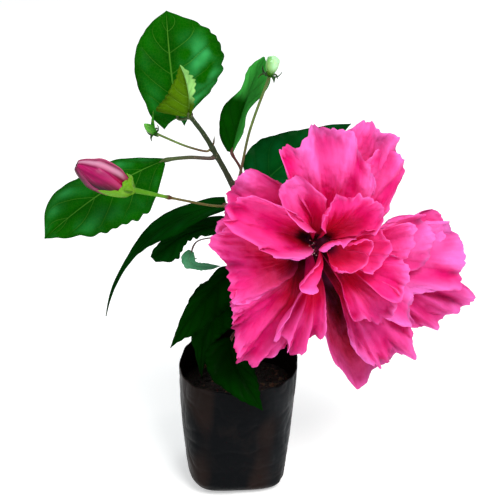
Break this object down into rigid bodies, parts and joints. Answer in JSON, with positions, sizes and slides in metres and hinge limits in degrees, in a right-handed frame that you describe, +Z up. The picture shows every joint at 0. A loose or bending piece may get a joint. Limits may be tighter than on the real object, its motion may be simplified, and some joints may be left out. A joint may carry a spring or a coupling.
{
  "type": "potted hibiscus shrub",
  "caption": "Young double pink hibiscus with one open bloom, buds and glossy leaves, growing in a black nursery bag.",
  "frame": {"origin": "on the bag's flat underside, straight below the foot of the stem", "axes": "+Z up along the stem, -Y to the plant's front where the bloom looks, +X to the right as seen from the front"},
  "size_m": [0.2639, 0.1316, 0.3072],
  "materials": {
    "bag_film": "black polythene film with a soft grey sheen, creased",
    "soil": "dark brown crumbly potting soil",
    "bark": "thin brown-olive bark with leaf scars",
    "leaf": "glossy bright green leaf",
    "dark_leaf": "glossy dark green leaf",
    "young_leaf": "young yellow-green leaf",
    "pale_leaf": "pale blue-green underside of a small leaf",
    "petal": "soft hot pink petal, crimson towards the throat",
    "bud": "rolled crimson petal with pale streaks",
    "calyx": "yellow-green calyx and stalk"
  },
  "bodies": {
    "root": {"bag": "bag_film", "soil": "soil", "main_stem": "bark", "leaf_top": "leaf", "leaf_young": "young_leaf", "leaf_left": "leaf", "leaf_twisted": "dark_leaf", "leaf_behind": "dark_leaf", "leaf_droop": "dark_leaf", "leaf_curled": "dark_leaf", "leaf_pale": "pale_leaf", "leaf_low_left": "dark_leaf", "leaf_low_middle": "dark_leaf", "leaf_front": "dark_leaf", "leaf_back_high": "dark_leaf", "leaf_back_right": "dark_leaf", "leaf_back_low": "dark_leaf", "leaf_right_low": "dark_leaf", "leaf_back_left": "dark_leaf", "leaf_back_middle": "dark_leaf", "bloom": "petal", "bloom_calyx": "calyx", "bud_petals": "bud", "bud_calyx": "calyx", "green_bud_right": "calyx", "green_bud_left": "calyx"}
  },
  "joints": []
}
